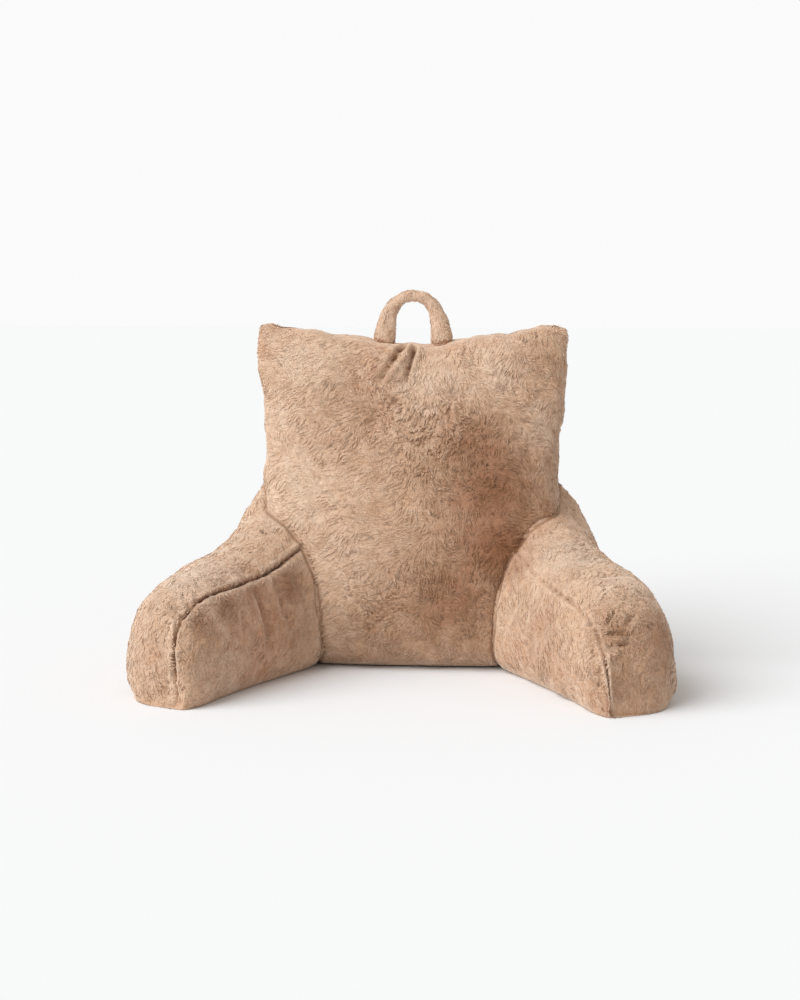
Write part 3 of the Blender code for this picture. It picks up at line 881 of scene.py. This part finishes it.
def inset(points, normals, shape, seed):
    # the skin inside its shape, with soft lumps and dimples, and level on the floor
    flatBase = smoothStep(-normals[..., 2], 0.55, 0.95) * (points[..., 2] < 0.03)
    depth = pile["inset"] * (1.0 - 0.93 * flatBase)
    uneven = shape["lumps"] * ripple(points, shape["lumpSize"], seed)
    uneven = uneven + shape["dimples"] * ripple(points, shape["dimpleSize"], seed + 1)
    moved = points + (uneven * (1.0 - flatBase) - depth)[..., None] * normals
    moved[..., 2] = np.maximum(moved[..., 2], pile["floor"])
    return moved


def meeting(inside, points, width):
    # 1 where another cushion touches this skin, falling off within width. The distance is how far the
    # other one's measure is from 1, over how fast it changes there
    step = 0.001
    value = inside(points)
    slope = np.sqrt(sum((inside(points + step * axis) - value) ** 2 for axis in np.eye(3))) / step
    return bump((value - 1.0) / np.clip(slope, 1.0, 60.0), width)


# where cushions meet: the groove's width and depth, and the painted shade in it
junction = {"width": 0.0032, "depth": 0.0038, "shade": 0.7}
foldShade = 90.0    # how much shade is painted in a fold, for each metre of its depth
foldShort = 50.0    # and how much shorter the pile is in it

# the tufts on each cushion. A lock is a bundle of tufts drawn together: tufts in each, how much longer than
# wide it is, half its width, and how far it stands up, shades as if round and has shade painted at its edges,
# of which "calm" is the share where the pile isn't rubbed into tufts
backPile = {
    "count": 52000, "length": 0.0092, "width": 0.0018,
    "swirl": 0.45, "swirlSize": 0.09, "stray": 0.24, "loose": 0.1,
    "calm": 0.55, "perLock": 9, "lockStretch": 2.6, "lockHalf": 0.0028, "lockHeight": 0.0018,
    "lockRound": 0.9, "lockShade": 0.38,
}
# where the pile is rubbed into tufts: place, reach, strength
backCurls = (
    ((0.05, 0.1, 0.46), 0.09, 1.0), ((0.12, 0.1, 0.45), 0.05, 0.7), ((0.14, 0.08, 0.39), 0.06, 0.6),
    ((-0.045, 0.12, 0.515), 0.08, 0.8), ((-0.06, 0.03, 0.13), 0.08, 0.7), ((0.03, 0.04, 0.18), 0.06, 0.6),
    ((0.24, 0.1, 0.56), 0.06, 0.5), ((-0.09, 0.05, 0.23), 0.05, 0.4), ((-0.12, 0.14, 0.57), 0.05, 0.3),
)
# painted shade where the nap is turned, as it catches less light there
backTurnedShade = (
    ((0.145, 0.1, 0.425), 0.11, 0.85), ((0.165, 0.1, 0.45), 0.03, 0.8),
    ((0.17, 0.08, 0.36), 0.14, 0.95), ((0.18, 0.05, 0.25), 0.13, 1.0),
    ((0.09, 0.04, 0.15), 0.14, 0.85), ((-0.04, 0.04, 0.08), 0.1, 0.6), ((0.05, 0.09, 0.39), 0.09, 0.45),
    ((-0.12, 0.12, 0.53), 0.08, 0.3), ((0.255, 0.15, 0.61), 0.06, 0.55), ((0.02, 0.06, 0.26), 0.1, 0.35),
)
# painted highlights, where the nap lies smooth and catches the light
backHighlights = (
    ((-0.21, 0.12, 0.62), 0.08, 0.45), ((-0.28, 0.12, 0.5), 0.07, 0.4), ((-0.24, 0.1, 0.36), 0.1, 0.4),
    ((0.04, 0.13, 0.58), 0.08, 0.35), ((0.27, 0.11, 0.48), 0.05, 0.5), ((0.29, 0.09, 0.4), 0.05, 0.45),
    ((0.17, 0.15, 0.6), 0.07, 0.35), ((-0.12, 0.04, 0.22), 0.08, 0.25),
)
# painted warm shade, where the pile lies in shade and looks rosier
backWarmShade = (((0.17, 0.08, 0.3), 0.11, 0.35),)
# creases of the nap: which way they run, how drawn out they are, their spacing, depth, painted shade and
# place
backNap = (
    {"way": (1.0, 0.0, 0.12), "stretch": 3.0, "size": 0.019, "sharp": 0.3, "wander": 0.006, "depth": 0.0013,
     "dark": 0.2, "where": lambda places: 1.0 - smoothStep(places[..., 0], -0.06, 0.12)},
    {"way": (0.4, 0.0, 1.0), "stretch": 2.2, "size": 0.021, "sharp": 0.32, "wander": 0.008, "depth": 0.0014,
     "dark": 0.3, "where": lambda places: smoothStep(places[..., 0], -0.1, 0.1)},
    {"way": (1.0, 0.0, 0.6), "stretch": 1.3, "size": 0.025, "sharp": 0.3, "wander": 0.01, "depth": 0.0046,
     "dark": 0.9, "where": lambda places: patchy(places, backCurls)},
    {"way": (0.0, 0.0, 1.0), "stretch": 3.5, "size": 0.05, "sharp": 0.7, "wander": 0.006, "depth": 0.0026,
     "dark": 0.0, "where": lambda places: patchy(places, (((-0.17, 0.08, 0.39), 0.13, 1.0),))},
)
armPile = {
    "count": 40000, "length": 0.0082, "width": 0.0019,
    "swirl": 0.45, "swirlSize": 0.07, "stray": 0.26, "loose": 0.1, "seamPart": armShape["seamPart"],
    "calm": 0.75, "perLock": 11, "lockStretch": 2.3, "lockHalf": 0.0028, "lockHeight": 0.0016,
    "lockRound": 0.85, "lockShade": 0.27,
}
armCurls = {
    "left": (((-0.33, -0.16, 0.205), 0.06, 0.7), ((-0.395, -0.23, 0.17), 0.05, 0.9),
             ((-0.3, -0.08, 0.215), 0.04, 0.5), ((-0.43, -0.27, 0.07), 0.05, 0.5)),
    "right": (((0.395, -0.24, 0.16), 0.06, 1.0), ((0.41, -0.17, 0.195), 0.06, 0.6),
              ((0.36, -0.28, 0.07), 0.035, 0.8), ((0.35, 0.02, 0.24), 0.06, 0.6),
              ((0.42, -0.28, 0.08), 0.05, 0.4)),
}
# painted shade on each arm, where its nap is turned or its side faces from the light
armTurnedShade = {
    "left": (((-0.215, -0.01, 0.19), 0.045, 0.9), ((-0.33, -0.17, 0.17), 0.035, 0.9),
             ((-0.365, -0.235, 0.145), 0.035, 0.9),
             ((-0.28, -0.09, 0.17), 0.045, 0.5), ((-0.23, 0.0, 0.1), 0.06, 0.45),
             ((-0.37, -0.25, 0.1), 0.06, 0.35), ((-0.48, -0.22, 0.1), 0.1, 0.25),
             ((-0.26, -0.07, 0.13), 0.07, 0.15)),
    "right": (((0.395, -0.25, 0.15), 0.045, 0.6), ((0.4, -0.29, 0.06), 0.06, 0.4),
              ((0.47, -0.2, 0.12), 0.08, 0.75), ((0.205, 0.06, 0.23), 0.06, 0.6),
              ((0.28, -0.1, 0.08), 0.1, 0.3), ((0.44, -0.28, 0.06), 0.07, 0.5)),
}
# painted highlights on each arm, where it catches the light
armHighlights = {
    "left": (((-0.37, 0.05, 0.24), 0.08, 0.4), ((-0.3, 0.1, 0.3), 0.06, 0.3),
             ((-0.4, -0.12, 0.21), 0.1, 0.7), ((-0.48, -0.2, 0.13), 0.06, 0.35),
             ((-0.325, -0.18, 0.05), 0.06, 0.35)),
    "right": (((0.32, 0.0, 0.255), 0.08, 0.55),
              ((0.43, -0.12, 0.21), 0.08, 0.45)),
}
# painted warm shade on each arm, rosier where the pile lies in shade
armWarmShade = {
    "left": (((-0.29, -0.12, 0.11), 0.11, 0.9), ((-0.43, -0.25, 0.08), 0.06, 0.3)),
    "right": (((0.205, 0.06, 0.22), 0.06, 0.5),),
}


# the creases of the nap on an arm, with the shade painted in them
def armNap(label):
    return (
        {"way": (0.0, 0.0, 1.0), "stretch": 2.0, "size": 0.022, "sharp": 0.3, "wander": 0.008,
         "depth": 0.0008, "dark": 0.12, "where": lambda places: 1.0},
        {"way": (0.0, 1.0, 0.6), "stretch": 1.4, "size": 0.024, "sharp": 0.34, "wander": 0.01,
         "depth": 0.004, "dark": 0.65, "where": lambda places: patchy(places, armCurls[label])},
    )


handlePile = {
    "count": 7000, "length": 0.0072, "width": 0.0018,
    "swirl": 0.6, "swirlSize": 0.03, "stray": 0.35, "loose": 0.15,
    "calm": 0.7, "perLock": 6, "lockStretch": 2.2, "lockHalf": 0.002, "lockHeight": 0.0008, "lockRound": 0.5,
    "lockShade": 0.25,
}


def combBack(points):    # to the left on the left half, down on the right, over the ridge and down behind
    right = smoothStep(points[:, 0], -0.06, 0.1)[:, None]
    way = (1.0 - right) * (-1.0, 0.0, -0.3) + right * (0.5, 0.0, -1.0)
    behind = smoothStep(points[:, 1], 0.16, 0.22)[:, None]
    return (1.0 - behind) * way + behind * (0.0, 0.7, -1.0)


def outsideArms(points):
    return (insideArm(points, -1) > 0.985) & (insideArm(points, 1) > 0.985)


def onFront(points):    # ahead of the middle of the level a point is at
    level = points[:, 2] - earLift(backShape, points[:, 0], points[:, 2])
    dense = throughRows(backShape["rows"], np.linspace(1.0, len(backShape["rows"]) - 1.0, 400))
    return points[:, 1] < np.interp(level, dense[:, 0], 0.5 * (dense[:, 2] + dense[:, 3]))


def nearArms(points):    # the lower of both arms' measures, point by point
    flat = points.reshape(-1, 3)
    return np.minimum(insideArm(flat, -1), insideArm(flat, 1)).reshape(points.shape[:-1])


def nearBack(points):
    return insideBack(points.reshape(-1, 3)).reshape(points.shape[:-1])


def nearFloor(points):    # how much shorter the pile is where a cushion stands on the floor
    return 0.6 * (1.0 - smoothStep(points[..., 2], 0.003, 0.022))


backPoints = backSurface(backShape)
backNormals = gridNormals(backPoints)
backNormals[0], backNormals[-1] = (0.0, 0.0, -1.0), (0.0, 0.0, 1.0)
backSkin = inset(backPoints, backNormals, backShape, 11)
backCrease, backCreaseShade = napCreases(backSkin, backNap)
backJoin = meeting(nearArms, backPoints, junction["width"])
backSkin = backSkin - (backCrease + junction["depth"] * backJoin)[..., None] * backNormals
backSkin, backFolds = creased(backSkin, backNormals, backCreases)
backSkin[..., 2] = np.maximum(backSkin[..., 2], pile["floor"])
# calmer along the ridge and its ears, with less painted shade and a painted highlight there
backLevel = backPoints[..., 2] - earLift(backShape, backPoints[..., 0], backPoints[..., 2])
backRidge = smoothStep(backLevel, 0.622, 0.641)
backCreaseShade = backCreaseShade * (1.0 - 0.8 * backRidge)
# painted shade in creases, folds and where the arms meet; painted shade of turned nap; painted highlights;
# painted warm shade
backMarks = {
    "shade": np.clip(np.maximum(np.maximum(backCreaseShade, foldShade * backFolds),
                                junction["shade"] * backJoin), 0.0, 1.0),
    "turn": patchy(backPoints, backTurnedShade) * (1.0 - 0.6 * backRidge),
    "pale": np.maximum(patchy(backPoints, backHighlights), 0.35 * backRidge),
    "warmth": patchy(backPoints, backWarmShade),
    "curl": curlAt(backPoints, backCurls) * (1.0 - backRidge),
    "short": np.maximum(np.maximum(0.75 * backRidge, nearFloor(backPoints)), foldShort * backFolds),
}
backPiece = skinPiece("backSkin", backSkin, backMarks, backMaterial)
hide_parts("back_cushion")

for label, seed, wanted in (("Front", 21, True), ("Rear", 25, False)):
    settings = dict(backPile, count=int(backPile["count"] * 1.75))    # as the other half is dropped
    growPile("backPile" + label, backSkin, backNormals, backMarks, combBack, settings, seed, pileMaterial,
             keep=lambda places: outsideArms(places) & (onFront(places) == wanted), creases=backCreases)
print("back made")

for label, side, seed in (("left", -1, 31), ("right", 1, 41)):
    points, seamLength = armSurface(armShape, side)
    normals = gridNormals(points)
    ringHalf = points.shape[1] // 2
    signed = np.where(np.arange(points.shape[1]) < ringHalf, 1.0, -1.0) * seamLength
    skin = inset(points, normals, armShape, seed)
    # the sewn seam: a deep notched groove with a soft roll on both sides, shallower where the arm is small
    along, outward, nose = armAxes(armShape, side)
    show = np.array(armShape["seamShow"][label])
    shown = np.interp((points - nose) @ along, show[:, 0], show[:, 1])
    small = smoothStep(points[:, :, 2].max(axis=1), 0.004, 0.03)[:, None] * shown
    notched = 1.0 + armShape["notches"] * ripple(points, armShape["notchSize"], seed + 5)
    groove = armShape["seamDepth"] * small * notched * bump(seamLength, armShape["seamWidth"])
    beside = small * bump(seamLength - armShape["rollAt"], armShape["rollWidth"])
    winding = 1.0 + armShape["rolls"] * ripple(points, armShape["rollSize"], seed + 6)
    roll = armShape["seamRoll"] * beside * winding
    crease, dark = napCreases(skin, armNap(label)) * (1.0 - bump(seamLength, armShape["seamCalm"]))
    join = meeting(nearBack, points, junction["width"])
    skin = skin + (roll - groove - crease - junction["depth"] * join)[..., None] * normals
    skin, depths = creased(skin, normals, armCreases[label])
    skin[..., 2] = np.maximum(skin[..., 2], pile["floor"])
    # painted shade in the nap's creases, the seam's groove and the folds
    dark = np.maximum(np.maximum(dark, foldShade * groove), 0.5 * foldShade * depths)
    fromTip = np.linalg.norm(points - points[0, 0], axis=-1)
    tipShort = armShape["noseShort"] * bump(fromTip, armShape["noseReach"])
    # painted shade, shade of turned nap, highlights also on the seam's rolls, and warm shade, all painted
    marks = {
        "shade": np.maximum(np.clip(dark, 0.0, 0.85), junction["shade"] * join),
        "turn": patchy(points, armTurnedShade[label]) * (1.0 - beside),
        "pale": np.maximum(patchy(points, armHighlights[label]), armShape["rollHighlight"] * roll),
        "warmth": patchy(points, armWarmShade[label]),
        "curl": curlAt(points, armCurls[label]),
        "short": np.maximum(np.maximum(tipShort, nearFloor(points)), foldShort * depths),
    }
    name = "arm" + label.capitalize()
    piece = skinPiece(name + "Skin", skin, marks, armMaterial)
    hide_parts("arm_" + label)

    def combArm(places):    # forwards to the nose on top, and down the flanks
        return 0.7 * along + 0.0 * places + np.array((0.0, 0.0, -0.9))

    growPile(name + "Pile", skin, normals, marks, combArm, armPile, seed + 7, pileMaterial,
             keep=lambda places: insideBack(places) > 0.985, seam=signed, creases=armCreases[label])
print("arms made")

handlePoints = handleSurface(handleShape)
handleNormals = gridNormals(handlePoints)
handleSkin = handlePoints + (
    handleShape["lumps"] * ripple(handlePoints, handleShape["lumpSize"], 51) - 1.2 * pile["inset"]
)[..., None] * handleNormals
handleSkin[0], handleSkin[-1] = handleSkin[1].mean(axis=0), handleSkin[-2].mean(axis=0)
handleFoot = meeting(nearBack, handlePoints, 0.014)
# painted shade, turned-nap shade and warm shade at the handle's feet, where they meet the back; a painted
# highlight on the rest
handleMarks = {
    "shade": 0.5 * handleFoot, "turn": 0.6 * handleFoot, "pale": 0.25 - 0.25 * handleFoot,
    "curl": 0.7 * handleFoot, "short": 0.0 * handleFoot, "warmth": 0.5 * handleFoot,
}
handlePiece = skinPiece("handleSkin", handleSkin, handleMarks, armMaterial)
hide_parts("handle")


def combHandle(points):    # down both legs from the top of the arch
    return np.column_stack([np.sign(points[:, 0]) * 0.6, 0.0 * points[:, 0], -np.ones(len(points))])


growPile("handlePile", handleSkin, handleNormals, handleMarks, combHandle, handlePile, 61,
         pileMaterial, keep=lambda places: insideBack(places) > 0.97)
print("handle made")


studio = {
    "floorSize": 14.0, "floorColour": (0.875, 0.908, 0.943, 1.0),
    "skyStrength": 0.52, "skyColour": (1.0, 0.935, 0.87, 1.0), "seenSky": 0.96,
    "sunStrength": 2.7, "sunSize": radians(55), "sunFrom": (-1.15, -0.8, 1.2),
}


def makeStudio(settings):
    size = settings["floorSize"]
    corners = np.array([(-size, -size, 0.0), (size, -size, 0.0), (size, size, 0.0), (-size, size, 0.0)])
    mesh = newMesh("floor", corners, np.array([(0, 1, 2, 3)]))
    floor = placed("floor", mesh)
    look = {"Base Color": settings["floorColour"], "Roughness": 0.9, "Specular IOR Level": 0.0}
    mesh.materials.append(newMaterial("floor", look)[0])

    sun = bpy.data.lights.new("softbox", "SUN")
    sun.energy, sun.angle = settings["sunStrength"], settings["sunSize"]
    lamp = placed("softbox", sun)
    lamp.rotation_euler = Vector(settings["sunFrom"]).to_track_quat("Z", "Y").to_euler()

    world = bpy.data.worlds.new("studio")
    bpy.context.scene.world = world
    world.use_nodes = True
    tree = world.node_tree
    tree.nodes.clear()
    light = node(tree, "Background", {"Color": settings["skyColour"], "Strength": settings["skyStrength"]})
    seen = node(tree, "Background", {"Color": (1.0, 1.0, 1.0, 1.0), "Strength": settings["seenSky"]})
    path = node(tree, "LightPath")
    isSeen = path.outputs["Is Camera Ray"]
    mixed = node(tree, "MixShader", {0: isSeen, 1: light.outputs[0], 2: seen.outputs[0]})
    out = node(tree, "OutputWorld")
    tree.links.new(mixed.outputs[0], out.inputs["Surface"])
    bpy.context.scene.view_settings.view_transform = "Standard"


makeStudio(studio)
